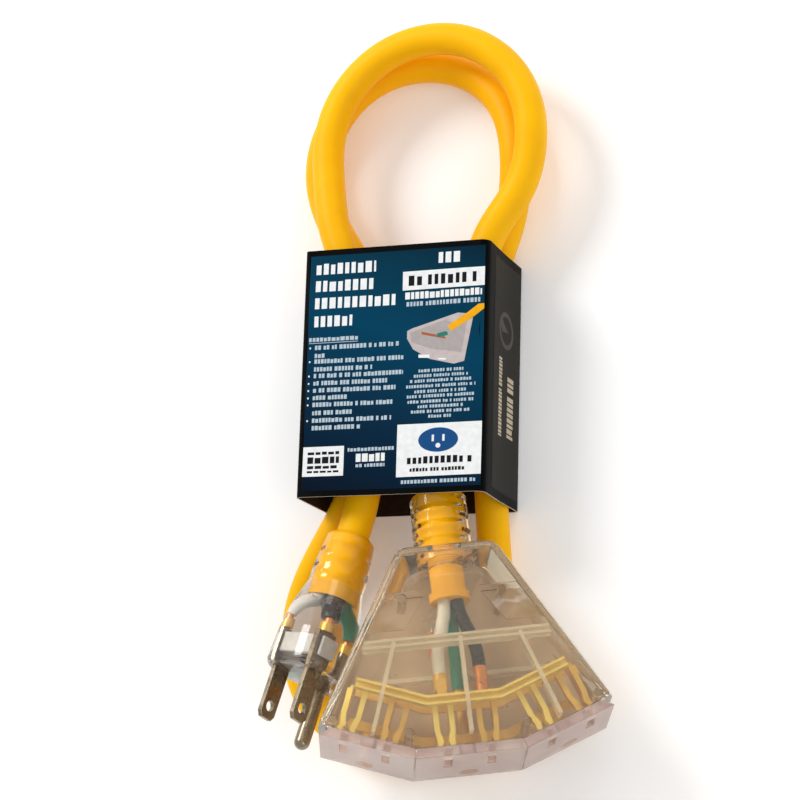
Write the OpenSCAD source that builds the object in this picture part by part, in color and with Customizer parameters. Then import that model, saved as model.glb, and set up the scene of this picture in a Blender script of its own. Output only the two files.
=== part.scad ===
// Short heavy-duty extension cord, bundled as a hank in a folded card sleeve.
// Millimetres. The bundle lies on its back on a surface at z = 0, the three-way
// connector and the plug point along -Y, the two end loops point along +Y.
// The origin is the middle of the sleeve's back panel.

/* [Cord] */
// Outside diameter of the three-core jacket
cord_d = 10.3; // [9:0.1:10.4]
// Radius of one insulated core
core_r = 1.85; // [1.5:0.05:1.9]
// Sides of the free cord's tube
cord_sides = 12; // [8:1:12]
// Rings along the free cord
cord_rings = 80; // [60:1:80]

/* [Sleeve] */
// Width of the sleeve's front panel
sleeve_w = 59.6; // [59:0.1:62]
// Height of the sleeve along the cords
sleeve_h = 79; // [70:1:84]
// Depth from the back panel to the front panel
sleeve_d = 32; // [31.5:0.5:36]
// Sideways lean of the front panel, as the loose sleeve sits
sleeve_lean = -2.6; // [-3.5:0.1:-2]
// Thickness of the card
card_t = 0.5; // [0.3:0.1:0.6]

/* [Connector] */
// Thickness of the connector at the outlets
conn_t = 26; // [25.6:0.2:28]
// Thickness of the rear half at the cord end
conn_rear_top = 9; // [8.8:0.2:10]
// Wall of the clear shells
conn_wall = 1.7; // [1.6:0.1:1.8]
// Length of the connector's strain relief
conn_relief_l = 19; // [18:0.5:20]
// Outer radius of the strain relief at the shell
conn_relief_r = 9; // [8.4:0.1:9.4]

/* [Plug] */
// Half width of the plug's face
plug_half = 11.7; // [11.5:0.1:12]
// Length of the plug from its cord end to its face
plug_l = 46; // [45:1:50]
// Length of the plug's strain relief
plug_relief_l = 17; // [15:0.5:18]
// Length of a flat blade in front of the face
blade_l = 16; // [15.9:0.1:17.5]
// Length of the ground pin in front of the face
pin_l = 20.5; // [19:0.1:21]

/* [Hidden] */
$fn = 48;
cr = cord_d / 2;
gap = 0.05;

// where the connector stands, and how it is turned: heading, roll, pitch
conn_pos = [13.2, -57.2, 24];
conn_head = 10.5;
conn_roll = 17.5;
conn_pitch = -9;
function rz(p, a) = [p[0] * cos(a) - p[1] * sin(a), p[0] * sin(a) + p[1] * cos(a), p[2]];
function ry(p, a) = [p[0] * cos(a) + p[2] * sin(a), p[1], -p[0] * sin(a) + p[2] * cos(a)];
function rx(p, a) = [p[0], p[1] * cos(a) - p[2] * sin(a), p[1] * sin(a) + p[2] * cos(a)];
function conn_pt(p) = conn_pos + rx(ry(rz(p, conn_head), conn_roll), conn_pitch);
module conn_place() { translate(conn_pos) rotate([conn_pitch, 0, 0]) rotate([0, conn_roll, 0]) rotate([0, 0, conn_head]) children(); }

// the free cord, from the plug's strain relief to the connector's
route = [
  // out of the plug, up through the sleeve on the front left
  [-17.1, -50.5, 21.5], [-14.9, -40, 19], [-12.5, -25.5, 21.5], [-13, -9.5, 21.5], [-14.5, 7, 20.5], [-17.5, 23, 19.5], [-22.5, 38, 19],
  // front loop
  [-28.5, 51.5, 18.5], [-30.5, 65.5, 17], [-32.5, 80.5, 16], [-28.5, 96.5, 16.5], [-15, 110.5, 17.5], [3.5, 115, 18.5], [20.5, 110, 20],
  [33, 97.5, 19], [38, 80, 19.5], [34.5, 62, 16.5], [26, 51.5, 16.5], [20.5, 40, 17.5],
  // back down on the right
  [20.5, 23.5, 18], [22, 5.5, 15], [22.5, -12.5, 10.5], [22.5, -29, 7.5], [23, -42, 6],
  // the turn on the table, under the connector
  [24, -55.5, 5.5], [25.5, -68, 5.5], [27.5, -83, 5.5], [22, -98.5, 5.5], [10, -109.7, 5.5], [-7, -114, 5.5], [-23, -109.5, 5.5],
  [-35, -98, 5.5], [-40, -82.5, 5.5], [-38, -66.5, 7.5], [-30.5, -53, 10.5], [-22.5, -40.5, 12],
  // up on the left, behind the first strand
  [-18.5, -28, 12], [-17, -15, 11.5], [-17, -1.5, 10.5], [-17, 12.5, 9], [-18, 27, 7.5], [-22.5, 41, 6.5],
  // back loop
  [-31.5, 54, 5.5], [-38, 68.5, 5.5], [-38, 85, 5.5], [-29.5, 100.5, 6], [-15, 109.5, 6], [1.5, 110.5, 5.5], [16.5, 104, 6],
  [27, 91, 8], [30, 73.5, 10], [28, 58.5, 5], [24, 44.5, 6],
  // across to the middle and into the connector
  [19, 30, 7], [14, 15, 7.5], [10, 0, 10], [8, -14.5, 15.5],
  conn_pt([0, conn_relief_l + 11.3, 0]), conn_pt([0, conn_relief_l, 0])];
function unit(v) = v / norm(v);
function bspl(p, u) = let(n = len(p), i = min(floor(u), n - 2), t = u - i,
    a = i == 0 ? 2 * p[0] - p[1] : p[i - 1], b = p[i], c = p[i + 1], d = i == n - 2 ? 2 * p[n - 1] - p[n - 2] : p[i + 2])
  (pow(1 - t, 3) * a + (3 * t * t * t - 6 * t * t + 4) * b + (-3 * t * t * t + 3 * t * t + 3 * t + 1) * c + t * t * t * d) / 6;
function along(p, k) = [for (i = [0:k]) bspl(p, (len(p) - 1) * i / k)];
function tan_at(q, i) = unit(q[min(i + 1, len(q) - 1)] - q[max(i - 1, 0)]);
// a round tube swept along the points q; up is any direction the path never follows
module sweep(q, r, m, up = [0, 0, 1]) {
  n = len(q);
  pts = [for (i = [0:n - 1]) let(t = tan_at(q, i), s = unit(cross(t, up)), w = cross(s, t))
      for (k = [0:m - 1]) q[i] + r * (cos(360 * k / m) * s + sin(360 * k / m) * w)];
  faces = concat(
    [for (i = [0:n - 2]) for (k = [0:m - 1]) [i * m + k, i * m + (k + 1) % m, (i + 1) * m + (k + 1) % m, (i + 1) * m + k]],
    [[for (k = [m - 1:-1:0]) k]],
    [[for (k = [0:m - 1]) (n - 1) * m + k]]);
  polyhedron(points = pts, faces = faces, convexity = 8);
}

// closed shape through rings of equal size
module loft(rings) {
  n = len(rings);
  m = len(rings[0]);
  pts = [for (r = rings) for (p = r) p];
  faces = concat(
    [for (i = [0:n - 2]) for (k = [0:m - 1]) each [[i * m + k, (i + 1) * m + k, (i + 1) * m + (k + 1) % m], [i * m + k, (i + 1) * m + (k + 1) % m, i * m + (k + 1) % m]]],
    [[for (k = [0:m - 1]) k]],
    [[for (k = [m - 1:-1:0]) (n - 1) * m + k]]);
  polyhedron(points = pts, faces = faces, convexity = 6);
}

// inward unit normal of the edge i of a counter-clockwise outline
function nrm(p, i) = let(a = p[i], b = p[(i + 1) % len(p)], d = unit(b - a)) [-d[1], d[0]];
function inset(p, d) = [for (i = [0:len(p) - 1]) let(a = nrm(p, (i + len(p) - 1) % len(p)), b = nrm(p, i)) p[i] + d * (a + b) / (1 + a * b)];
// outline with each corner rounded by its own radius, k + 1 points to a corner
function rounded(p, r, k) = [for (i = [0:len(p) - 1]) let(a = nrm(p, (i + len(p) - 1) % len(p)), b = nrm(p, i), c = p[i] + r[i] * (a + b) / (1 + a * b),
    a0 = atan2(-a[1], -a[0]), d0 = atan2(-b[1], -b[0]) - a0, d = d0 < -180 ? d0 + 360 : d0 > 180 ? d0 - 360 : d0)
  for (j = [0:k]) c + r[i] * [cos(a0 + d * j / k), sin(a0 + d * j / k)]];
// a strip of thickness t along a line of points
function sidep(q, i, s) = let(n = len(q), d1 = unit(q[max(i, 1)] - q[max(i, 1) - 1]), d2 = unit(q[min(i + 1, n - 1)] - q[min(i + 1, n - 1) - 1]),
    n1 = [-d1[1], d1[0]], n2 = [-d2[1], d2[0]]) q[i] + s * (n1 + n2) / (1 + n1 * n2);
function strip(q, t) = concat([for (i = [0:len(q) - 1]) sidep(q, i, -t / 2)], [for (i = [len(q) - 1:-1:0]) sidep(q, i, t / 2)]);

// ---------------------------------------------------------------- free cord
module cord_jacket() {
  color([1, 0.72, 0.02]) sweep(along(route, cord_rings - 1), cr, cord_sides);
}

// ---------------------------------------------------------------- sleeve
function sleeve_sec(d) = inset([[-sleeve_w / 2, 0], [sleeve_w / 2, 0], [sleeve_w / 2 + sleeve_lean, sleeve_d], [-sleeve_w / 2 + sleeve_lean, sleeve_d]], d);
module carton_sleeve() {
  color([0.05, 0.16, 0.25]) translate([0, sleeve_h / 2, 0]) rotate([90, 0, 0]) {
    difference() {
      linear_extrude(sleeve_h) polygon(rounded(sleeve_sec(0), [1.2, 1.2, 3, 1.6], 4));
      translate([0, 0, -1]) linear_extrude(sleeve_h + 2) polygon(rounded(sleeve_sec(card_t), [0.8, 0.8, 2.5, 1.1], 4));
    }
    // the glued overlap inside the back panel
    translate([-12, card_t - 0.05, 1]) cube([15, card_t, sleeve_h - 2]);
  }
}

// ---------------------------------------------------------------- connector
// own frame: X to the right, Y towards the cord, Z out of the front face
half_top = 14.6;
half_low = 44.3;
low_y = -53.8;
mid_x = 16.15;
mid_y = -64.5;
ht = conn_t / 2;
face_t = 3;
slot_w = 3.8;
hole_w = slot_w - 11.9;
side_turn = atan2(mid_y - low_y, half_low - mid_x);
outline = [[-half_top, 0], [-half_low, low_y], [-mid_x, mid_y], [mid_x, mid_y], [half_low, low_y], [half_top, 0]];
function rear_k(y) = -y / 52;
function rear_w(y) = -(conn_rear_top + (ht - conn_rear_top) * rear_k(y));
corner_r = [5, 3.5, 8, 8, 3.5, 5];
function ring_f(d, w) = [for (p = rounded(inset(outline, d), [for (r = corner_r) max(0.6, r - d)], 5)) [p[0], p[1], w]];
function ring_r(d, k, o = 0) = [for (p = rounded(inset(outline, d), [for (r = corner_r) max(0.6, r - d)], 5)) [p[0], p[1], k * (rear_w(p[1]) + o)]];
module face_band() {
  // everything in front of the inner side of the outlet faces
  b = inset(outline, face_t);
  translate([0, 0, -20]) linear_extrude(40) polygon([b[1] + [-20, 8], b[1], b[2], b[3], b[4], b[4] + [20, 8], [60, -90], [-60, -90]]);
}
module cord_hole() { translate([0, 1, 0]) rotate([90, 0, 0]) cylinder(h = 6, r = cr + 0.15); }
module front_recess(s) {
  // shallow moulded panels on the front face
  translate([0, 0, ht - 0.8]) linear_extrude(3) {
    polygon([for (p = [[8.5, -3.5], [13.2, -3.5], [19.5, -14.5], [8.5, -14.5]]) [s * p[0], p[1]]]);
    polygon([for (p = [[8.5, -16.5], [20.5, -16.5], [26, -26], [15, -26]]) [s * p[0], p[1]]]);
  }
}
module connector_front_shell() {
  color([0.86, 0.8, 0.76, 0.4]) conn_place() difference() {
    loft([ring_f(0, gap), ring_f(0, ht - 3), ring_f(0.35, ht - 1.6), ring_f(1.2, ht - 0.5), ring_f(2.6, ht)]);
    translate([0, 0, -1]) loft([ring_f(conn_wall, 0), ring_f(conn_wall + 0.6, ht - conn_wall + 1)]);
    face_band();
    cord_hole();
    front_recess(1);
    front_recess(-1);
    for (p = pin_at) translate([p[0], p[1], 0]) cylinder(h = ht + 1, r = pin_r + gap);
  }
}
module connector_rear_shell() {
  color([0.86, 0.8, 0.76, 0.4]) conn_place() difference() {
    mirror([0, 0, 1]) loft([ring_f(0, gap), [for (p = ring_r(0, -1, 3)) p], [for (p = ring_r(0.35, -1, 1.6)) p], [for (p = ring_r(1.2, -1, 0.5)) p], [for (p = ring_r(2.6, -1)) p]]);
    mirror([0, 0, 1]) translate([0, 0, -1]) loft([ring_f(conn_wall, 0), [for (p = ring_r(conn_wall + 0.6, -1, conn_wall - 1)) p]]);
    face_band();
    cord_hole();
    for (p = pin_at) translate([p[0], p[1], -ht - 1]) cylinder(h = ht + 1, r = pin_r + gap);
  }
}
pin_r = 1.3;
pin_at = [[-14.6, -16.5], [14.6, -16.5], [-38.4, -50.4], [38.4, -50.4], [-17, -56.6], [17, -56.6]];
module connector_assembly_pins() {
  color([0.84, 0.78, 0.74, 0.6]) conn_place() for (p = pin_at)
    translate([p[0], p[1], rear_w(p[1]) + 0.6]) cylinder(h = ht - 0.6 - rear_w(p[1]) - 0.6, r = pin_r);
}
module relief_slits(r, zs) {
  // pairs of slits, every second pair turned a quarter
  for (i = [0:len(zs) - 1]) rotate([0, 0, i % 2 * 90]) for (s = [0, 180]) rotate([0, 0, s])
    translate([-r * 0.72, cr + 0.6, zs[i]]) cube([r * 1.44, r, 1.3]);
}
module connector_strain_relief() {
  color([0.9, 0.84, 0.72, 0.5]) conn_place() rotate([-90, 0, 0]) difference() {
    rotate_extrude() polygon([[cr + 0.1, gap], [conn_relief_r, gap], [conn_relief_r - 0.4, conn_relief_l - 1.2], [conn_relief_r - 1.4, conn_relief_l], [cr + 0.1, conn_relief_l]]);
    rotate([0, 0, -4]) relief_slits(conn_relief_r, [2.2, 4.8, 7.4, 10, 12.6, 15.4]);
  }
}
module connector_cord_end() {
  color([1, 0.72, 0.02]) conn_place() rotate([90, 0, 0]) {
    translate([0, 0, -conn_relief_l]) cylinder(h = conn_relief_l + 15, r = cr);
    translate([0, 0, 12.6]) cylinder(h = 2.4, r = cr + 0.9);
  }
}
module rib(a, b, t, w0, w1) { translate([0, 0, w0]) linear_extrude(w1 - w0) polygon(strip([a, b], t)); }
bus_line = [[-30.6, -39.3], [-10.8, -46.9], [10.8, -46.9], [30.6, -39.3]];
module connector_carrier_front() {
  w1 = ht - conn_wall - gap;
  color([0.88, 0.82, 0.77, 0.5]) conn_place() difference() {
    union() {
      rib([-27.1, -28.4], [27.1, -28.4], 0.8, 6.2, w1);
      rib([-27.5, -30.2], [27.5, -30.2], 0.8, 6.2, w1);
      rib([-27.5, -29.3], [27.5, -29.3], 1.2, 6.2, 7.4);
      rib([-18.4, -29], [-27.2, -55], 1.2, 6.2, w1);
      rib([18.4, -29], [27.2, -55], 1.2, 6.2, w1);
      rib([1, -29], [1, -57.5], 1.2, 7.6, w1);
    }
    translate([0, 0, 0]) linear_extrude(ht - conn_wall - 1) polygon(strip(bus_line, 4.4));
    for (k = [-1:1]) at_face(k) translate([0, 0, 0]) for (s = [-1, 1]) translate([s * 6.35 - 3.2, 2.6, 0]) cube([6.4, 14.6, 7.6]);
  }
}
module connector_carrier_rear() {
  w1 = rear_w(-35.3) + conn_wall + gap;
  color([0.88, 0.82, 0.77, 0.5]) conn_place() {
    rib([-27.5, -36], [-3.4, -36], 1.4, w1, -5.6);
    rib([3.4, -36], [27.5, -36], 1.4, w1, -5.6);
  }
}
// frame of one outlet face: X along the face, Y inwards from the outer surface
module at_face(k) {
  translate([k * (half_low + mid_x) / 2, k == 0 ? mid_y : (low_y + mid_y) / 2, 0]) rotate([0, 0, -k * side_turn]) children();
}
module outlet_cuts() {
  for (s = [-1, 1]) translate([s * 6.35 - 1.15, -1, slot_w - 4.1]) cube([2.3, face_t + 2, 8.2]);
  translate([0, -1, hole_w]) rotate([-90, 0, 0]) cylinder(h = face_t + 2, r = 2.65);
}
module outlet_plate(k) {
  a = inset(outline, face_t - gap);
  // the three faces share mitred joints; the outer ends stop inside the rounded corners
  poly = k == 0 ? [outline[2] + [gap, 0], outline[3] - [gap, 0], a[3] - [gap, 0], a[2] + [gap, 0]]
                : [outline[3] + [gap, 0], outline[4] + 1.6 * unit(outline[3] - outline[4]), a[4] + 1.2 * unit(a[3] - a[4]), a[3] + [gap, 0]];
  color([0.84, 0.76, 0.74, 0.5]) conn_place() difference() {
    mirror([k < 0 ? 1 : 0, 0, 0]) translate([0, 0, -ht - 0.5]) linear_extrude(conn_t + 0.3) polygon(poly);
    at_face(k) outlet_cuts();
  }
}
module outlet_face_left() { outlet_plate(-1); }
module outlet_face_center() { outlet_plate(0); }
module outlet_face_right() { outlet_plate(1); }
// two spring leaves that grip one blade, from behind the face to the bar
module leaves(w0, w1) {
  for (s = [-1, 1]) translate([0, 0, w0]) linear_extrude(w1 - w0)
    polygon(strip([[s * 1.9, 18], [s * 1.9, 9], [s * 1.15, 6], [s * 1.8, 3.6]], 0.8));
  // each leaf's folded-over front edge
  for (s = [-1, 1]) translate([0, 0, w1 - 0.6]) linear_extrude(0.6)
    polygon([[s * 1.9, 17], [s * 3.05, 17], [s * 3.05, 9.2], [s * 2.6, 6.4], [s * 2.6, 4.4], [s * 1.5, 4.4], [s * 1.5, 6.4], [s * 1.9, 9.2]]);
}
module neutral_bus_bar() {
  color([0.85, 0.66, 0.22]) conn_place() {
    translate([0, 0, 6.9]) linear_extrude(0.7) polygon(strip(bus_line, 2.8));
    for (o = [-1.05, 1.05]) translate([0, 0, 6.9]) linear_extrude(2.9) polygon(strip([for (i = [0:3]) sidep(bus_line, i, o)], 0.7));
    for (k = [-1:1]) at_face(k) translate([-6.35, 0, 0]) leaves(0.9, 7);
  }
}
module live_bus_bar() {
  color([0.85, 0.66, 0.22]) conn_place() {
    translate([0, 0, -0.9]) linear_extrude(0.7) polygon(strip(bus_line, 2.8));
    translate([0, 0, -3.2]) linear_extrude(2.9) polygon(strip([for (i = [0:3]) sidep(bus_line, i, 1.05)], 0.7));
    for (k = [-1:1]) at_face(k) translate([6.35, 0, 0]) leaves(-0.3, 6.4);
  }
}
module ground_bus_bar() {
  color([0.8, 0.64, 0.28]) conn_place() {
    for (k = [-1:1]) at_face(k) translate([0, 3.4, hole_w]) rotate([-90, 0, 0]) difference() {
      cylinder(h = 7, r = 2.8);
      translate([0, 0, -1]) cylinder(h = 9, r = 2.45);
    }
    translate([0, 0, hole_w + 2.5]) linear_extrude(0.7) polygon(strip([for (i = [0:3]) sidep(bus_line, i, -8.5)], 3));
  }
}
jacket_end_y = -15;
function core(k) = [2.35 * sin(120 * k), jacket_end_y - gap, k == 0 ? -2.35 : 1.18];
module connector_neutral_wire() { color([0.93, 0.93, 0.9]) conn_place() sweep(along([core(-1), core(-1) + [0, -3, 0], [-3.4, -23, 2], [-5.4, -30, 3.2], [-5.9, -34, 3.6], [-5.9, -38, 3.6]], 14), core_r, 10); }
module connector_live_wire() { color([0.03, 0.03, 0.03]) conn_place() sweep(along([core(1), core(1) + [0, -3, 0], [3.4, -22, 1.4], [5.4, -28, 1.2], [6.2, -32, 1.2], [6.2, -36, 1.2]], 14), core_r, 10); }
module connector_ground_wire() { color([0.05, 0.42, 0.32]) conn_place() sweep(along([core(0), core(0) + [0, -3, 0], [0, -23, -3.6], [0, -31, -6], [0, -36, -7.4], [0, -40, -7.7]], 14), core_r, 10); }
module connector_neutral_crimp() {
  // barrel and tab down to the bar
  color([0.85, 0.66, 0.22]) conn_place() {
    translate([-5.9, -38 - gap, 3.6]) rotate([90, 0, 0]) cylinder(h = 5, r = 2.1);
    translate([-7.3, -45, 5.2]) cube([2.8, 5, 1.2]);
  }
}
module connector_live_crimp() {
  color([0.82, 0.42, 0.2]) conn_place() {
    translate([6.2, -36 - gap, 1.2]) rotate([90, 0, 0]) cylinder(h = 7.6, r = 1.9);
  }
}
module connector_ground_crimp() { color([0.8, 0.64, 0.28]) conn_place() translate([0, -40 - 3 * gap, -7.7]) rotate([90, 0, 0]) cylinder(h = 13.3, r = 1.6); }
module indicator_lamp() { color([0.95, 0.55, 0.3, 0.8]) conn_place() translate([-6.2, -23, -3.4]) rotate([90, 0, 0]) { cylinder(h = 7, r = 1.8); translate([0, 0, 7]) sphere(r = 1.8); } }
module lamp_resistor() { color([0.8, 0.7, 0.5]) conn_place() translate([6.2, -23, -3.4]) rotate([90, 0, 0]) cylinder(h = 6, r = 1.1); }
module lamp_leads() {
  color([0.75, 0.75, 0.76]) conn_place() {
    sweep(along([[-6.2, -22.9, -3.4], [-6.2, -20.5, -3.6], [0, -19.6, -5.9], [6.2, -20.5, -3.6], [6.2, -22.9, -3.4]], 12), 0.3, 8);
    sweep(along([[6.2, -29.1, -3.4], [6.2, -32, -3.4], [6.2, -38, -3.2], [6.2, -44.6, -2.4]], 8), 0.3, 8);
  }
}

// ---------------------------------------------------------------- plug
// own frame: Z out of the face, the blades in a row along X, the ground pin towards -Y
plug_axis = unit(route[0] - route[1]);
plug_spin = 112;
module plug_place() {
  translate(route[0] + plug_l * plug_axis) rotate([0, acos(plug_axis[2]), atan2(plug_axis[1], plug_axis[0])]) rotate([0, 0, plug_spin]) children();
}
blade_y = 5;
pin_y = blade_y - 11.9;
function sgnpow(v, e) = abs(v) < 0.001 ? 0 : (v < 0 ? -1 : 1) * pow(abs(v), e);
// squared on the blades' side, rounded on the ground pin's
function pring(h, e, z) = [for (k = [0:31]) let(a = 360 * k / 32, q = sin(a) < 0 ? min(1, e + 0.25) : e) [h * sgnpow(cos(a), q), h * sgnpow(sin(a), q), z]];
relief_z = -plug_l + plug_relief_l;
module plug_body() {
  h = plug_half;
  color([0.88, 0.82, 0.78, 0.4]) plug_place() difference() {
    union() {
      loft([pring(8.6, 1, relief_z + gap), pring(9.4, 0.95, relief_z + 3), pring(h - 1.1, 0.82, relief_z + 9), pring(h - 0.3, 0.74, relief_z + 17),
            pring(h, 0.7, -2), pring(h - 0.4, 0.7, -0.7), pring(h - 1.4, 0.7, 0)]);
      translate([0, pin_y, -0.5]) cylinder(h = 2.5, r = 3.5);
    }
    loft([pring(5.5, 1, relief_z - 1), pring(5.6, 1, relief_z + 1.5), pring(h - 2.8, 0.84, relief_z + 9), pring(h - 1.6, 0.76, relief_z + 17), pring(h - 1.4, 0.73, -4)]);
    for (s = [-1, 1]) translate([s * 6.35 - 0.75 - gap, blade_y - 3.175 - gap, -6]) cube([1.5 + 2 * gap, 6.35 + 2 * gap, 8]);
    translate([0, pin_y, -6]) cylinder(h = 9, r = 2.1 + gap);
  }
}
module plug_strain_relief() {
  color([0.9, 0.84, 0.72, 0.5]) plug_place() difference() {
    translate([0, 0, -plug_l]) rotate_extrude() polygon([[cr + 0.1, 0], [6.6, 0], [7.4, 1.2], [8.6, plug_relief_l - 5], [8.6, plug_relief_l - gap], [cr + 0.1, plug_relief_l - gap]]);
    translate([0, 0, -plug_l]) rotate([0, 0, -44]) relief_slits(8, [3.4, 6.2, 9, 11.8, 14.4]);
  }
}
module plug_cord_end() { color([1, 0.72, 0.02]) plug_place() translate([0, 0, -plug_l]) cylinder(h = 22, r = cr); }
wire_z = -plug_l + 22 + gap;
module plug_blade_bridge() {
  color([0.85, 0.85, 0.8]) plug_place() difference() {
    translate([-8.2, blade_y - 3.8, -10.5]) cube([16.4, 5.6, 6.3]);
    for (s = [-1, 1]) translate([s * 6.35 - 0.75 - gap, blade_y - 3.175 - gap, -12]) cube([1.5 + 2 * gap, 6.35 + 2 * gap, 9]);
  }
}
module blade() {
  difference() {
    translate([-0.75, 0, 0]) rotate([90, 0, 90]) linear_extrude(1.5) polygon([[-3.175, -12], [3.175, -12], [3.175, blade_l - 1.6], [2.1, blade_l], [-2.1, blade_l], [-3.175, blade_l - 1.6]]);
    translate([-2, 0, blade_l - 4]) rotate([0, 90, 0]) cylinder(h = 4, r = 1.6);
  }
}
module plug_live_blade() { color([0.75, 0.72, 0.66]) plug_place() translate([6.35, blade_y, 0]) blade(); }
module plug_neutral_blade() { color([0.75, 0.72, 0.66]) plug_place() translate([-6.35, blade_y, 0]) blade(); }
module plug_ground_pin() {
  color([0.75, 0.72, 0.66]) plug_place() translate([0, pin_y, 0]) {
    translate([0, 0, -10]) cylinder(h = 12.05, r = 2.1);
    translate([0, 0, 2 + gap]) cylinder(h = pin_l - 4.38 - gap, r = 2.38);
    translate([0, 0, pin_l - 2.38]) sphere(r = 2.38);
  }
}
function pcore(k) = [2.35 * sin(120 * k), k == 0 ? -2.35 : 1.18, wire_z];
module plug_live_wire() { color([0.03, 0.03, 0.03]) plug_place() sweep(along([pcore(1), pcore(1) + [0, 0, 2], [3.6, 3, -21.5], [5.9, 4.7, -18.5], [6.35, blade_y, -16.5]], 12), core_r, 10, [0, 1, 0]); }
module plug_neutral_wire() { color([0.93, 0.93, 0.9]) plug_place() sweep(along([pcore(-1), pcore(-1) + [0, 0, 2], [-3.6, 3, -21.5], [-5.9, 4.7, -18.5], [-6.35, blade_y, -16.5]], 12), core_r, 10, [0, 1, 0]); }
module plug_ground_wire() { color([0.05, 0.42, 0.32]) plug_place() sweep(along([pcore(0), pcore(0) + [0, 0, 2], [0, -4.5, -20.5], [0, pin_y + 0.2, -17], [0, pin_y, -14.5]], 12), core_r, 10, [1, 0, 0]); }
module barrel(z0, h, r) { translate([0, 0, z0]) difference() { cylinder(h = h, r = r); translate([0, 0, -1]) cylinder(h = h + 2, r = 1.35); } }
module plug_live_crimp() { color([0.75, 0.6, 0.3]) plug_place() translate([6.35, blade_y, 0]) barrel(-14.6, 2.5, 2.1); }
module plug_neutral_crimp() { color([0.75, 0.6, 0.3]) plug_place() translate([-6.35, blade_y, 0]) barrel(-14.6, 2.5, 2.1); }
module plug_ground_crimp() { color([0.75, 0.6, 0.3]) plug_place() translate([0, pin_y, 0]) barrel(-12.8, 2.7, 2.1); }
module plug_bare_copper() {
  color([0.85, 0.42, 0.16]) plug_place() {
    for (s = [-1, 1]) translate([s * 6.35, blade_y, -16.5 + gap]) cylinder(h = 4.4, r = 1.3);
    translate([0, pin_y, -14.5 + gap]) cylinder(h = 4.4, r = 1.3);
  }
}

cord_jacket();
carton_sleeve();
connector_front_shell();
connector_rear_shell();
connector_strain_relief();
connector_cord_end();
connector_carrier_front();
connector_carrier_rear();
outlet_face_left();
outlet_face_center();
outlet_face_right();
neutral_bus_bar();
live_bus_bar();
ground_bus_bar();
connector_live_wire();
connector_neutral_wire();
connector_ground_wire();
connector_live_crimp();
connector_neutral_crimp();
connector_ground_crimp();
connector_assembly_pins();
indicator_lamp();
lamp_resistor();
lamp_leads();
plug_body();
plug_strain_relief();
plug_cord_end();
plug_blade_bridge();
plug_live_blade();
plug_neutral_blade();
plug_ground_pin();
plug_live_wire();
plug_neutral_wire();
plug_ground_wire();
plug_live_crimp();
plug_neutral_crimp();
plug_ground_crimp();
plug_bare_copper();
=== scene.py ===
import math
import random

import bmesh
import bpy
from mathutils import Matrix, Vector


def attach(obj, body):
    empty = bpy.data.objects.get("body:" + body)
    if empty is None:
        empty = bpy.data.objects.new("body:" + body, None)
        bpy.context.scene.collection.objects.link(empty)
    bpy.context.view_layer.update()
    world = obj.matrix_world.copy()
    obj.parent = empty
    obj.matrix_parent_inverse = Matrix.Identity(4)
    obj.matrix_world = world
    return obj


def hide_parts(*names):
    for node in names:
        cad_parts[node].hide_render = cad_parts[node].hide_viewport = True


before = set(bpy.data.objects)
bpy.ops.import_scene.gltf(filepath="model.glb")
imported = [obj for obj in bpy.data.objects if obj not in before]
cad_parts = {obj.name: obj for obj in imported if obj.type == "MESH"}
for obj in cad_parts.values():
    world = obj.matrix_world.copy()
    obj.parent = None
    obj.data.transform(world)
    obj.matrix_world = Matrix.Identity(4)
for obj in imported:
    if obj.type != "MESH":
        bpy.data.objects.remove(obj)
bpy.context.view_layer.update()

MM = 0.001
scene = bpy.context.scene
scene.view_settings.view_transform = "Standard"
scene.view_settings.look = "None"
col = scene.collection

# ------------------------------------------------------------------ camera
R = Vector((0.95455894, 0.02965979, -0.29654262))
U = Vector((0.04794582, 0.96679044, 0.25103275))
B = Vector((0.29414015, -0.25384354, 0.9214364))
cam_data = bpy.data.cameras.new("camera")
cam_data.sensor_width = 36.0
cam_data.lens = 2300.148 / 800 * 36
cam_data.clip_start, cam_data.clip_end = 0.01, 20
cam_data.dof.use_dof = False
cam = bpy.data.objects.new("camera", cam_data)
col.objects.link(cam)
m = Matrix((R, U, B)).transposed().to_4x4()
m.translation = Vector((206.13757, -187.96104, 676.80961)) * MM
cam.matrix_world = m
scene.camera = cam


# ------------------------------------------------------------------ frames
def conn_matrix():
    return (Matrix.Translation((13.2, -57.2, 24)) @ Matrix.Rotation(math.radians(-9), 4, "X")
            @ Matrix.Rotation(math.radians(17.5), 4, "Y") @ Matrix.Rotation(math.radians(10.5), 4, "Z"))


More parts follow.
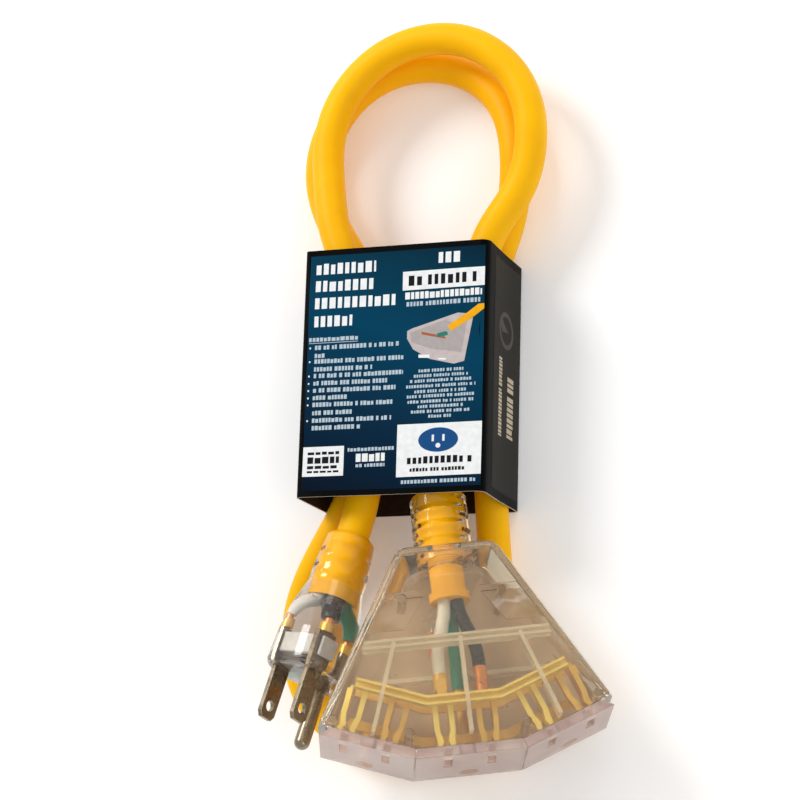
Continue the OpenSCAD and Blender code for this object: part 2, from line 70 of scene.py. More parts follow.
CONN = conn_matrix()
CORD_D = 10.3
PLUG_L, PLUG_SPIN, PLUG_RELIEF, PLUG_HALF = 46, 112, 17, 11.7
ROUTE = [
    (-17.1, -50.5, 21.5), (-14.9, -40, 19), (-12.5, -25.5, 21.5), (-13, -9.5, 21.5), (-14.5, 7, 20.5), (-17.5, 23, 19.5), (-22.5, 38, 19),
    (-28.5, 51.5, 18.5), (-30.5, 65.5, 17), (-32.5, 80.5, 16), (-28.5, 96.5, 16.5), (-15, 110.5, 17.5), (3.5, 115, 18.5), (20.5, 110, 20),
    (33, 97.5, 19), (38, 80, 19.5), (34.5, 62, 16.5), (26, 51.5, 16.5), (20.5, 40, 17.5),
    (20.5, 23.5, 18), (22, 5.5, 15), (22.5, -12.5, 10.5), (22.5, -29, 7.5), (23, -42, 6),
    (24, -55.5, 5.5), (25.5, -68, 5.5), (27.5, -83, 5.5), (22, -98.5, 5.5), (10, -109.7, 5.5), (-7, -114, 5.5), (-23, -109.5, 5.5),
    (-35, -98, 5.5), (-40, -82.5, 5.5), (-38, -66.5, 7.5), (-30.5, -53, 10.5), (-22.5, -40.5, 12),
    (-18.5, -28, 12), (-17, -15, 11.5), (-17, -1.5, 10.5), (-17, 12.5, 9), (-18, 27, 7.5), (-22.5, 41, 6.5),
    (-31.5, 54, 5.5), (-38, 68.5, 5.5), (-38, 85, 5.5), (-29.5, 100.5, 6), (-15, 109.5, 6), (1.5, 110.5, 5.5), (16.5, 104, 6),
    (27, 91, 8), (30, 73.5, 10), (28, 58.5, 5), (24, 44.5, 6),
    (19, 30, 7), (14, 15, 7.5), (10, 0, 10), (8, -14.5, 15.5)]
ROUTE = [Vector(p) for p in ROUTE] + [CONN @ Vector((0, 30.3, 0)), CONN @ Vector((0, 19, 0))]


def bspline(p, k):
    """k + 1 points of the uniform cubic B-spline that starts and ends on the first and last point."""
    n, out = len(p), []
    for i in range(k + 1):
        u = (n - 1) * i / k
        j = min(int(u), n - 2)
        t = u - j
        a = p[j - 1] if j else 2 * p[0] - p[1]
        b, c = p[j], p[j + 1]
        d = p[j + 2] if j < n - 2 else 2 * p[n - 1] - p[n - 2]
        out.append(((1 - t) ** 3 * a + (3 * t ** 3 - 6 * t * t + 4) * b + (-3 * t ** 3 + 3 * t * t + 3 * t + 1) * c + t ** 3 * d) / 6)
    return out


def plug_matrix():
    a = (ROUTE[0] - ROUTE[1]).normalized()
    o = ROUTE[0] + PLUG_L * a
    return (Matrix.Translation(o) @ Matrix.Rotation(math.atan2(a.y, a.x), 4, "Z")
            @ Matrix.Rotation(math.acos(a.z), 4, "Y") @ Matrix.Rotation(math.radians(PLUG_SPIN), 4, "Z"))


PLUG = plug_matrix()


# ------------------------------------------------------------------ materials
def new_mat(name):
    mat = bpy.data.materials.new(name)
    mat.use_nodes = True
    nt = mat.node_tree
    return mat, nt, nt.nodes["Principled BSDF"]


def node(nt, kind, **kw):
    n = nt.nodes.new(kind)
    for k, v in kw.items():
        if k in n.inputs:
            n.inputs[k].default_value = v
        else:
            setattr(n, k, v)
    return n


def coords(nt, scale=1.0):
    tc = nt.nodes.new("ShaderNodeTexCoord")
    return tc.outputs["Object"]


def noise(nt, scale, detail=4.0, rough=0.55, vec=None):
    n = node(nt, "ShaderNodeTexNoise", Scale=scale, Detail=detail, Roughness=rough)
    nt.links.new(vec if vec is not None else coords(nt), n.inputs["Vector"])
    return n.outputs["Fac"]


def ramp(nt, fac, stops):
    r = nt.nodes.new("ShaderNodeValToRGB")
    r.color_ramp.elements[0].position, r.color_ramp.elements[0].color = stops[0][0], (*stops[0][1], 1)
    r.color_ramp.elements[1].position, r.color_ramp.elements[1].color = stops[-1][0], (*stops[-1][1], 1)
    for pos, c in stops[1:-1]:
        e = r.color_ramp.elements.new(pos)
        e.color = (*c, 1)
    nt.links.new(fac, r.inputs["Fac"])
    return r.outputs["Color"]


def rough_var(nt, bsdf, fac, lo, hi):
    mr = node(nt, "ShaderNodeMapRange")
    mr.inputs["To Min"].default_value, mr.inputs["To Max"].default_value = lo, hi
    mr.inputs["From Min"].default_value, mr.inputs["From Max"].default_value = 0.3, 0.7
    nt.links.new(fac, mr.inputs["Value"])
    nt.links.new(mr.outputs["Result"], bsdf.inputs["Roughness"])


def bump(nt, bsdf, height, strength, dist):
    b = node(nt, "ShaderNodeBump", Strength=strength, Distance=dist)
    nt.links.new(height, b.inputs["Height"])
    nt.links.new(b.outputs["Normal"], bsdf.inputs["Normal"])
    return b


def mat_jacket():
    mat, nt, p = new_mat("yellow_vinyl")
    f = noise(nt, 60, 5)
    c = ramp(nt, f, [(0.3, (0.93, 0.45, 0.0)), (0.5, (0.97, 0.49, 0.0)), (0.72, (1.0, 0.52, 0.0))])
    nt.links.new(c, p.inputs["Base Color"])
    p.inputs["Roughness"].default_value = 0.46
    fine = noise(nt, 2600, 3)
    bump(nt, p, fine, 0.25, 0.0001)
    p.inputs["Specular IOR Level"].default_value = 0.12
    p.inputs["Subsurface Weight"].default_value = 0.0
    return mat


def mat_wire(name, c, r=0.3):
    mat, nt, p = new_mat(name)
    f = noise(nt, 300, 3)
    k = ramp(nt, f, [(0.3, tuple(x * 0.82 for x in c)), (0.7, c)])
    nt.links.new(k, p.inputs["Base Color"])
    rough_var(nt, p, noise(nt, 500, 3), r - 0.06, r + 0.1)
    return mat


def mat_metal(name, c, r=0.25, streak=900.0, dark=0.72, metal=1.0):
    mat, nt, p = new_mat(name)
    f = noise(nt, 220, 4)
    k = ramp(nt, f, [(0.3, tuple(x * dark for x in c)), (0.68, c)])
    nt.links.new(k, p.inputs["Base Color"])
    p.inputs["Metallic"].default_value = metal
    rough_var(nt, p, noise(nt, 420, 4), r - 0.08, r + 0.12)
    bump(nt, p, noise(nt, streak, 2), 0.12, 0.0001)
    return mat


def mat_clear(name, c, rough=0.06, trans=1.0, ior=1.49, lamp=(0.8, 0.75, 0.68), wavy=0.1, mottle=None):
    """Clear moulded plastic that lets lamps through."""
    mat, nt, p = new_mat(name)
    d = mottle or tuple(x * 0.97 for x in c)
    nt.links.new(ramp(nt, noise(nt, 95, 3), [(0.34, d), (0.66, c)]), p.inputs["Base Color"])
    p.inputs["Transmission Weight"].default_value = trans
    p.inputs["IOR"].default_value = ior
    rough_var(nt, p, noise(nt, 90, 3), max(0.0, rough - 0.04), rough + 0.06)
    bump(nt, p, noise(nt, 120, 2), wavy, 0.0004)
    lp = nt.nodes.new("ShaderNodeLightPath")
    tr = node(nt, "ShaderNodeBsdfTransparent")
    tr.inputs["Color"].default_value = (*lamp, 1)
    mix = nt.nodes.new("ShaderNodeMixShader")
    nt.links.new(lp.outputs["Is Shadow Ray"], mix.inputs["Fac"])
    nt.links.new(p.outputs["BSDF"], mix.inputs[1])
    nt.links.new(tr.outputs["BSDF"], mix.inputs[2])
    nt.links.new(mix.outputs["Shader"], nt.nodes["Material Output"].inputs["Surface"])
    return mat


def mat_card(name, stops=None, c=None, rough=0.5, spec=0.035):
    mat, nt, p = new_mat(name)
    if stops:
        sep = nt.nodes.new("ShaderNodeSeparateXYZ")
        nt.links.new(coords(nt), sep.inputs["Vector"])
        add = node(nt, "ShaderNodeMath", operation="MULTIPLY_ADD")
        nt.links.new(sep.outputs["X"], add.inputs[0])
        add.inputs[1].default_value = 0.35
        nt.links.new(sep.outputs["Y"], add.inputs[2])
        mr = node(nt, "ShaderNodeMapRange")
        mr.inputs["From Min"].default_value, mr.inputs["From Max"].default_value = -0.048, 0.046
        nt.links.new(add.outputs["Value"], mr.inputs["Value"])
        nt.links.new(ramp(nt, mr.outputs["Result"], stops), p.inputs["Base Color"])
    else:
        f = noise(nt, 500, 4)
        nt.links.new(ramp(nt, f, [(0.3, tuple(x * 0.86 for x in c)), (0.7, c)]), p.inputs["Base Color"])
    p.inputs["Roughness"].default_value = rough
    p.inputs["Specular IOR Level"].default_value = spec
    bump(nt, p, noise(nt, 2600, 3), 0.06, 0.00006)
    return mat


JACKET = mat_jacket()
W_BLACK = mat_wire("black_insulation", (0.012, 0.012, 0.013), 0.28)
W_WHITE = mat_wire("white_insulation", (0.86, 0.87, 0.84), 0.35)
W_GREEN = mat_wire("green_insulation", (0.015, 0.26, 0.17), 0.3)
BRASS = mat_metal("brass_bar", (1.0, 0.80, 0.2), 0.34, dark=0.9, metal=0.25)
BRASS_DULL = mat_metal("brass_dull", (0.95, 0.62, 0.13), 0.36, dark=0.8, metal=0.55)
COPPER = mat_metal("copper_strands", (0.98, 0.40, 0.12), 0.34, streak=3000, metal=0.7)
# painted reflection: the blades' base colour is darkened to stand for the dark surroundings they mirror, not the
# nickel's own tone
NICKEL_DARK_REFLECTION = mat_metal("nickel_painted_dark_reflection", (0.33, 0.27, 0.19), 0.27, dark=0.86, streak=500)
TINNED = mat_metal("tinned_wire", (0.7, 0.7, 0.72), 0.3)
SHELL = mat_clear("clear_shell", (0.92, 0.865, 0.75), 0.07, 0.965)
SHELL_REAR = mat_clear("clear_shell_rear", (0.78, 0.645, 0.48), 0.3, 0.42, mottle=(0.68, 0.55, 0.40))
PLATE = mat_clear("outlet_plate", (0.82, 0.68, 0.60), 0.16, 0.72, mottle=(0.64, 0.47, 0.43))
INNER = mat_clear("clear_ribs", (0.97, 0.92, 0.80), 0.2, 0.6)
PINS = mat_clear("clear_pins", (0.74, 0.62, 0.47), 0.3, 0.85, ior=1.2)
MOULD = mat_clear("clear_moulding", (1.0, 0.95, 0.78), 0.05, 1.0, ior=1.46)
BODY = mat_clear("clear_plug_body", (0.86, 0.82, 0.77), 0.08, 0.95, ior=1.46, mottle=(0.76, 0.71, 0.66), wavy=0.22)
INSERT = mat_wire("white_insert", (0.8, 0.79, 0.76), 0.4)
LAMP = mat_clear("lamp_glass", (1.0, 0.55, 0.3), 0.1, 0.8)
RESISTOR = mat_wire("resistor_body", (0.62, 0.45, 0.25), 0.45)


# ------------------------------------------------------------------ piece builders
def add_mesh(name, verts, faces, mats, body, face_mats=None, smooth=True, angle=35):
    me = bpy.data.meshes.new(name)
    me.from_pydata([tuple(v) for v in verts], [], faces)
    me.update()
    for mt in mats:
        me.materials.append(mt)
    if face_mats:
        me.polygons.foreach_set("material_index", face_mats)
    if smooth:
        me.polygons.foreach_set("use_smooth", [True] * len(me.polygons))
        me.set_sharp_from_angle(angle=math.radians(angle))
    ob = bpy.data.objects.new(name, me)
    col.objects.link(ob)
    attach(ob, body)
    return ob


def refined(nodename, mat, name=None, bevel=0.25, seg=2, angle=30, weld=0.01, fat=0.0):
    """A smooth, lightly bevelled piece with the CAD node's own shape."""
    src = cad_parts[nodename]
    bm = bmesh.new()
    bm.from_mesh(src.data)
    bmesh.ops.remove_doubles(bm, verts=bm.verts, dist=weld * MM)
    bmesh.ops.dissolve_limit(bm, angle_limit=math.radians(1.0), verts=bm.verts, edges=bm.edges)
    if fat:
        bm.normal_update()
        for v, n in [(v, v.normal.copy()) for v in bm.verts]:
            v.co += n * fat * MM
    me = bpy.data.meshes.new(name or nodename + "_looks")
    bm.to_mesh(me)
    bm.free()
    me.materials.clear()
    me.materials.append(mat)
    me.polygons.foreach_set("material_index", [0] * len(me.polygons))
    me.polygons.foreach_set("use_smooth", [True] * len(me.polygons))
    me.set_sharp_from_angle(angle=math.radians(angle))
    ob = bpy.data.objects.new(name or nodename + "_looks", me)
    col.objects.link(ob)
    if bevel:
        bv = ob.modifiers.new("edges", "BEVEL")
        bv.width, bv.segments, bv.limit_method, bv.angle_limit = bevel * MM, seg, "ANGLE", math.radians(angle)
        bv.harden_normals = False
    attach(ob, "cord_set")
    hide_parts(nodename)
    return ob


# ------------------------------------------------------------------ free cord
pts = bspline(ROUTE, 560)
cu = bpy.data.curves.new("free_cord", "CURVE")
cu.dimensions = "3D"
sp = cu.splines.new("POLY")
sp.points.add(len(pts) - 1)
for i, p in enumerate(pts):
    sp.points[i].co = (*(p * MM), 1)
cu.bevel_depth = CORD_D / 2 * MM
cu.bevel_resolution = 9
cu.use_fill_caps = True
cu.materials.append(JACKET)
cord = bpy.data.objects.new("free_cord", cu)
col.objects.link(cord)
sp.use_smooth = True
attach(cord, "cord_set")
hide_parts("cord_jacket")

# ------------------------------------------------------------------ card sleeve
random.seed(5)
SW, SH, SD, LEAN, CT = 59.6, 79.0, 32.0, -2.6, 0.5


def card_path():
    """The sleeve's outer section as (point x, z; outward normal nx, nz) pairs with rounded folds, anticlockwise from
    the back panel's left.
    """
    c = [(-SW / 2, 0), (SW / 2, 0), (SW / 2 + LEAN, SD), (-SW / 2 + LEAN, SD)]
    rad = [1.2, 1.2, 3.0, 1.6]
    out = []
    for i in range(4):
        p, q, n = Vector(c[i - 1]), Vector(c[i]), Vector(c[(i + 1) % 4])
        d1, d2 = (q - p).normalized(), (n - q).normalized()
        n1, n2 = Vector((d1.y, -d1.x)), Vector((d2.y, -d2.x))
        ctr = q - (n1 + n2) / (1 + n1.dot(n2)) * rad[i]
        a0, a1 = math.atan2(n1.y, n1.x), math.atan2(n2.y, n2.x)
        if a1 < a0:
            a1 += 2 * math.pi
        for k in range(9):
            a = a0 + (a1 - a0) * k / 8
            out.append((ctr + Vector((math.cos(a), math.sin(a))) * rad[i], Vector((math.cos(a), math.sin(a)))))
    # a few points along each panel, so that it can bow
    full = []
    for i in range(len(out)):
        full.append(out[i])
        nx = out[(i + 1) % len(out)]
        if (nx[0] - out[i][0]).length > 6:
            for k in range(1, 12):
                full.append((out[i][0].lerp(nx[0], k / 12), out[i][1]))
    return full


def bowed(p, n, y):
    """A little life in the flat panels: the front sinks slightly between its folds, and the mouth's edges lift."""
    k = 0.0
    if n.y > 0.99:
        t = (p.x - (-SW / 2 + LEAN)) / SW
        k = -0.45 * math.sin(math.pi * t) ** 2 * (0.5 + 0.5 * math.cos(y / 79 * math.pi))
        k += 0.12 * math.sin(0.21 * y + 0.1 * p.x)
    elif n.x > 0.9:
        k = -0.25 * math.sin(math.pi * min(max(p.y / SD, 0), 1)) ** 2
    return p + n * k


section = card_path()
NY = 40
verts, faces, fm = [], [], []
ns = len(section)
for side in (0, 1):
    for j in range(NY + 1):
        y = -SH / 2 + SH * j / NY
        for p, n in section:
            q = bowed(p, n, y) - n * (CT if side else 0)
            verts.append(Vector((q.x, y, q.y)) * MM)


def vid(side, j, i):
    return side * (NY + 1) * ns + j * ns + i % ns


for j in range(NY):
    for i in range(ns):
        faces.append((vid(0, j, i), vid(0, j, i + 1), vid(0, j + 1, i + 1), vid(0, j + 1, i)))
        fm.append(0)
        faces.append((vid(1, j, i), vid(1, j + 1, i), vid(1, j + 1, i + 1), vid(1, j, i + 1)))
        fm.append(1)
for i in range(ns):
    faces.append((vid(0, 0, i), vid(1, 0, i), vid(1, 0, i + 1), vid(0, 0, i + 1)))
    fm.append(2)
    faces.append((vid(0, NY, i), vid(0, NY, i + 1), vid(1, NY, i + 1), vid(1, NY, i)))
    fm.append(2)
C_BLACK = mat_card("card_black", c=(0.0016, 0.0018, 0.002), rough=0.42)
# painted shade: the sleeve's inside is given a near-black brown, standing in for paler card lying in deep shadow
C_INSIDE_SHADE = mat_card("card_inside_painted_shade", c=(0.035, 0.022, 0.016), rough=0.7)
C_EDGE = mat_card("card_cut_edge", c=(0.62, 0.58, 0.52), rough=0.8)
sleeve = add_mesh("card_sleeve", verts, faces, [C_BLACK, C_INSIDE_SHADE, C_EDGE], "carton", fm, angle=40)
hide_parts("carton_sleeve")
# the glued overlap inside the back panel, in the same painted-shade dark as the inside
v, f = [], []
for y in (-38.5, 38.5):
    for x, z in ((-12, CT - 0.02), (3, CT - 0.02), (2.8, CT + 0.42), (-11.8, CT + 0.42)):
        v.append(Vector((x, y, z)) * MM)
f = [(0, 1, 2, 3), (4, 7, 6, 5), (0, 4, 5, 1), (1, 5, 6, 2), (2, 6, 7, 3), (3, 7, 4, 0)]
flap = add_mesh("card_glue_flap", v, f, [C_INSIDE_SHADE], "carton", smooth=False)

# ---- print, laid on the card as thin ink shapes
INK = {
    "navy": mat_card("ink_blue", stops=[(0.0, (0.0015, 0.006, 0.016)), (0.3, (0.0015, 0.020, 0.048)), (0.62, (0.0, 0.046, 0.098)), (0.85, (0.0008, 0.034, 0.066)), (1.0, (0.001, 0.018, 0.036))], rough=0.32),
    "white": mat_card("ink_white", c=(0.86, 0.87, 0.87), rough=0.4),
    "pale": mat_card("ink_pale", c=(0.47, 0.57, 0.64), rough=0.4),
    "dark": mat_card("ink_dark", c=(0.012, 0.012, 0.016), rough=0.35),
    "blue": mat_card("ink_mark_blue", c=(0.012, 0.075, 0.23), rough=0.35),
    "grey": mat_card("ink_grey", c=(0.42, 0.38, 0.37), rough=0.4),
    "rose": mat_card("ink_rose_grey", c=(0.55, 0.48, 0.47), rough=0.4),
    "yellow": mat_card("ink_yellow", c=(0.9, 0.42, 0.01), rough=0.4),
    "rust": mat_card("ink_rust", c=(0.4, 0.12, 0.05), rough=0.4),
    "green": mat_card("ink_green", c=(0.03, 0.2, 0.16), rough=0.4),
    "charcoal": mat_card("ink_charcoal", c=(0.021, 0.019, 0.014), rough=0.4),
    "side_gold": mat_card("ink_side_gold", c=(0.55, 0.47, 0.34), rough=0.4),
    "side_faint": mat_card("ink_side_faint", c=(0.075, 0.065, 0.055), rough=0.34),
}
INK_ORDER = list(INK)
pv, pf, pm = [], [], []


def front_point(u, w, lift):
    """u across the front panel from its left edge, w down from its top edge, both 0 to 1."""
    x = -SW / 2 + LEAN + SW * u
    y = SH / 2 - SH * w
    n = Vector((0, 1))
    q = bowed(Vector((x, SD)), n, y) + n * lift
    return Vector((q.x, y, q.y)) * MM


def side_point(u, w, lift):
    """u from the front fold to the back fold of the right-hand side panel."""
    a, b = Vector((SW / 2 + LEAN, SD)), Vector((SW / 2, 0))
    d = (b - a).normalized()
    n = Vector((-d.y, d.x))
    if n.x < 0:
        n = -n
    q = bowed(a.lerp(b, u), n, 0) + n * lift
    return Vector((q.x, SH / 2 - SH * w, q.y)) * MM


def ink(poly, colour, lift=0.05, fn=front_point, div=1):
    """One flat shape of ink: poly is a list of (u, w) corners. A quad is divided so that it follows the card."""
    base = len(pv)
    if len(poly) == 4 and div > 1:
        for j in range(div + 1):
            for i in range(div + 1):
                s, t = i / div, j / div
                u = (1 - t) * ((1 - s) * poly[0][0] + s * poly[1][0]) + t * ((1 - s) * poly[3][0] + s * poly[2][0])
                w = (1 - t) * ((1 - s) * poly[0][1] + s * poly[1][1]) + t * ((1 - s) * poly[3][1] + s * poly[2][1])
                pv.append(fn(u, w, lift))
        for j in range(div):
            for i in range(div):
                a = base + j * (div + 1) + i
                pf.append((a, a + 1, a + div + 2, a + div + 1))
                pm.append(INK_ORDER.index(colour))
        return
    for u, w in poly:
        pv.append(fn(u, w, lift))
    pf.append(tuple(range(base, base + len(poly))))
    pm.append(INK_ORDER.index(colour))


def box(u0, w0, u1, w1, colour, lift=0.05, fn=front_point, div=1):
    ink([(u0, w0), (u1, w0), (u1, w1), (u0, w1)], colour, lift, fn, div)


def greek(u0, w0, u1, w1, colour, lift, mean, gap, fn=front_point, seed=0, words=0.16, vertical=False, slant=0.0):
    """A row of plain blocks where the real sleeve has a line of words."""
    rnd = random.Random(seed)
    t, end = (w0, w1) if vertical else (u0, u1)
    while t < end - mean * 0.3:
        s = min(mean * rnd.uniform(0.72, 1.2), end - t)
        cut = rnd.choice((0.0, 0.0, 0.0, 0.12))
        if vertical:
            ink([(u0, t), (u1 - (u1 - u0) * cut, t), (u1 - (u1 - u0) * cut, t + s), (u0, t + s)], colour, lift, fn)
        else:
            h = w1 - w0
            ink([(t, w0 + h * cut), (t + s, w0 + h * cut), (t + s, w1), (t, w1)], colour, lift, fn)
        t += s + gap
        if words and rnd.random() < words:
            t += mean * 0.7


box(0.035, 0.024, 0.985, 0.978, "navy", 0.05, div=14)
# heading: four lines of plain blocks
for k, (u1, w0, w1) in enumerate(((0.395, 0.057, 0.102), (0.39, 0.128, 0.173), (0.505, 0.199, 0.244), (0.275, 0.274, 0.318))):
    greek(0.068, w0, u1, w1, "white", 0.09, 0.029, 0.0125, seed=11 + k, words=0)
# top right: short line, white band, two lines
greek(0.735, 0.036, 0.855, 0.086, "white", 0.09, 0.03, 0.013, seed=21, words=0)
box(0.543, 0.112, 0.985, 0.188, "white", 0.09, div=4)
greek(0.575, 0.13, 0.96, 0.171, "dark", 0.13, 0.026, 0.015, seed=22, words=0.2)
greek(0.558, 0.197, 0.972, 0.225, "white", 0.09, 0.022, 0.006, seed=23, words=0.1)
greek(0.566, 0.236, 0.968, 0.254, "pale", 0.09, 0.014, 0.006, seed=24, words=0.14)
# pictogram of the connector
fan = [(0.575, 0.354), (0.60, 0.345), (0.845, 0.292), (0.915, 0.30), (0.925, 0.318), (0.885, 0.488), (0.83, 0.497), (0.70, 0.472), (0.61, 0.43), (0.575, 0.385)]
ink(fan, "rose", 0.09)
ink([(0.59, 0.362), (0.83, 0.306), (0.90, 0.314), (0.868, 0.452), (0.70, 0.428), (0.60, 0.40)], "grey", 0.12)
ink([(0.775, 0.35), (0.90, 0.292), (0.955, 0.262), (0.985, 0.262), (0.985, 0.282), (0.93, 0.312), (0.80, 0.37)], "yellow", 0.15)
ink([(0.65, 0.36), (0.78, 0.385), (0.785, 0.395), (0.655, 0.372)], "rust", 0.15)
ink([(0.735, 0.372), (0.79, 0.362), (0.795, 0.38), (0.74, 0.388)], "green", 0.16)
for a, b in (((0.64, 0.452), (0.70, 0.468)), ((0.745, 0.47), (0.79, 0.48))):
    ink([a, (b[0], a[1] + 0.003), b, (a[0], b[1] - 0.003)], "white", 0.13)
# left column of small lines
greek(0.03 + 0.012, 0.361, 0.31, 0.377, "pale", 0.09, 0.02, 0.005, seed=31, words=0.1)
box(0.042, 0.382, 0.31, 0.3845, "pale", 0.09)
lines = [(0.395, 0.535, 1), (0.428, 0.135, 0), (0.451, 0.558, 1), (0.483, 0.39, 0), (0.51, 0.558, 1), (0.54, 0.48, 1), (0.569, 0.52, 1),
         (0.599, 0.265, 1), (0.627, 0.51, 1), (0.66, 0.29, 0), (0.69, 0.502, 1), (0.72, 0.345, 0)]
for k, (w, u1, dot) in enumerate(lines):
    if dot:
        box(0.046, w + 0.004, 0.054, w + 0.011, "white", 0.09)
    greek(0.076, w - 0.002, u1, w + 0.0155, "pale", 0.09, 0.0145, 0.0042, seed=40 + k, words=0.2)
# right column, centred
for k, (w, h) in enumerate(((0.512, 0.12), (0.532, 0.145), (0.552, 0.165), (0.573, 0.185), (0.594, 0.14), (0.613, 0.18), (0.634, 0.175), (0.654, 0.12), (0.674, 0.155), (0.694, 0.062))):
    greek(0.762 - h, w, 0.762 + h, w + 0.012, "pale", 0.09, 0.011, 0.0042, seed=60 + k, words=0.22)
# white boxes at the foot
box(0.538, 0.728, 0.985, 0.935, "white", 0.09, div=4)
ring = [(0.757 + 0.105 * math.cos(t) , 0.794 + 0.048 * math.sin(t)) for t in [2 * math.pi * k / 40 for k in range(40)]]
ink(ring, "blue", 0.13)
for du in (-0.034, 0.022):
    box(0.757 + du, 0.774, 0.757 + du + 0.012, 0.800, "white", 0.16)
ink([(0.757 + 0.013 * math.cos(t), 0.817 + 0.0095 * math.sin(t)) for t in [2 * math.pi * k / 16 for k in range(16)]], "white", 0.16)
greek(0.595, 0.858, 0.935, 0.886, "dark", 0.13, 0.02, 0.0105, seed=81, words=0.1)
greek(0.61, 0.902, 0.905, 0.916, "dark", 0.13, 0.014, 0.005, seed=82, words=0.1)
box(0.035, 0.802, 0.255, 0.92, "white", 0.09, div=2)
for w, h in ((0.822, 0.012), (0.843, 0.026), (0.878, 0.012), (0.898, 0.008)):
    greek(0.06, w, 0.23, w + h, "dark", 0.13, 0.03, 0.008, seed=int(w * 1000), words=0)
greek(0.275, 0.812, 0.53, 0.826, "pale", 0.09, 0.013, 0.0045, seed=91, words=0.15)
greek(0.32, 0.836, 0.475, 0.868, "white", 0.09, 0.028, 0.007, seed=92, words=0)
greek(0.32, 0.876, 0.475, 0.889, "pale", 0.09, 0.013, 0.0045, seed=93, words=0.1)
greek(0.565, 0.948, 0.965, 0.962, "pale", 0.09, 0.013, 0.005, seed=94, words=0.12)
# right-hand side panel
box(0.22, 0.035, 0.96, 0.965, "charcoal", 0.05, side_point, div=6)
greek(0.62, 0.49, 0.78, 0.735, "side_gold", 0.09, 0.017, 0.006, side_point, seed=95, words=0.1, vertical=True)
greek(0.38, 0.43, 0.47, 0.745, "side_gold", 0.09, 0.011, 0.0042, side_point, seed=96, words=0.1, vertical=True)
ring = [(0.56 + 0.2 * math.cos(t), 0.31 + 0.075 * math.sin(t)) for t in [2 * math.pi * k / 32 for k in range(32)]]
ink(ring, "side_faint", 0.09, side_point)
ink([(0.56 + 0.15 * math.cos(t), 0.31 + 0.056 * math.sin(t)) for t in [2 * math.pi * k / 32 for k in range(32)]], "charcoal", 0.12, side_point)
prints = add_mesh("sleeve_print", pv, pf, [INK[k] for k in INK_ORDER], "carton", pm, smooth=False)
bm = bmesh.new()
bm.from_mesh(prints.data)
bmesh.ops.recalc_face_normals(bm, faces=bm.faces)
for fc in bm.faces:
    c = fc.calc_center_median()
    out = Vector((0, 0, 1)) if c.z > 0.0315 else Vector((1, 0, 0))
    if fc.normal.dot(out) < 0:
        fc.normal_flip()
bm.to_mesh(prints.data)
bm.free()


# ------------------------------------------------------------------ clear mouldings round the cord
def tube_skin(name, mat, rows, frame_m, n_ang=120, notches=(), body="cord_set", zdir=1, cap=True):
    """A closed skin from rows of (z, function of angle giving radius); frame_m takes it to the row frame."""
    vs, fs = [], []
    for z, fn in rows:
        for k in range(n_ang):
            a = 2 * math.pi * k / n_ang
            x, y = fn(a)
            vs.append(frame_m @ Vector((x, y, z)) * MM)
    nr = len(rows)
    for j in range(nr - 1):
        for k in range(n_ang):
            a, b = j * n_ang + k, j * n_ang + (k + 1) % n_ang
            fs.append((a, b, b + n_ang, a + n_ang))
    if cap:
        vs.append(frame_m @ Vector((0, 0, rows[0][0])) * MM)
        vs.append(frame_m @ Vector((0, 0, rows[-1][0])) * MM)
        c0, c1 = len(vs) - 2, len(vs) - 1
        for k in range(n_ang):
            fs.append((c0, (k + 1) % n_ang, k))
            e = (nr - 1) * n_ang
            fs.append((c1, e + k, e + (k + 1) % n_ang))
    return add_mesh(name, vs, fs, [mat], body, angle=38)


def smooth_step(e0, e1, x):
    t = min(max((x - e0) / (e1 - e0), 0), 1)
    return t * t * (3 - 2 * t)


def slit_depth(z, a, slits):
    """How far in, 0 to 1, a slit cuts at height z and angle a; each slit is (z0, z1, angle, half width in radians)."""
    d = 0.0
    for z0, z1, sa, hw in slits:
        dz = smooth_step(z0 - 0.1, z0 + 0.55, z) * (1 - smooth_step(z1 - 0.55, z1 + 0.1, z))
        da = abs((a - sa + math.pi) % (2 * math.pi) - math.pi)
        d = max(d, dz * (1 - smooth_step(hw - 0.4, hw + 0.06, da)))
    return d


def sgnpow(v, e):
    return 0.0 if abs(v) < 1e-3 else math.copysign(abs(v) ** e, v)


def square_ring(h, e):
    def fn(a):
        q = min(1.0, e + 0.25) if math.sin(a) < 0 else e
        return h * sgnpow(math.cos(a), q), h * sgnpow(math.sin(a), q)
    return fn


def lerp_rows(keys, z):
    for (z0, v0), (z1, v1) in zip(keys, keys[1:]):
        if z <= z1:
            t = (z - z0) / (z1 - z0) if z1 > z0 else 0
            return tuple(a + (b - a) * t for a, b in zip(v0, v1))
    return keys[-1][1]


# plug: one solid clear moulding, relief and body
relief_z = -PLUG_L + PLUG_RELIEF
h = PLUG_HALF
keys = [(-PLUG_L, (6.2, 1.0)), (-PLUG_L + 0.4, (6.7, 1.0)), (-PLUG_L + 1.4, (7.5, 1.0)), (-PLUG_L + 12, (8.6, 1.0)), (relief_z, (8.6, 1.0)), (relief_z + 3, (9.4, 0.95)),
        (relief_z + 9, (h - 1.1, 0.82)), (relief_z + 17, (h - 0.3, 0.74)), (-2, (h, 0.7)), (-0.7, (h - 0.4, 0.7)), (-0.2, (h - 0.9, 0.7)), (0, (h - 1.5, 0.7))]
plug_slits = []
for i, z0 in enumerate((3.4, 6.2, 9, 11.8, 14.4)):
    for s in (0, math.pi):
        plug_slits.append((-PLUG_L + z0, -PLUG_L + z0 + 1.3, math.radians(46 + 90 * (i % 2)) + s, 0.72))
zs = [-PLUG_L + PLUG_L * k / 230 for k in range(231)]
rows = []
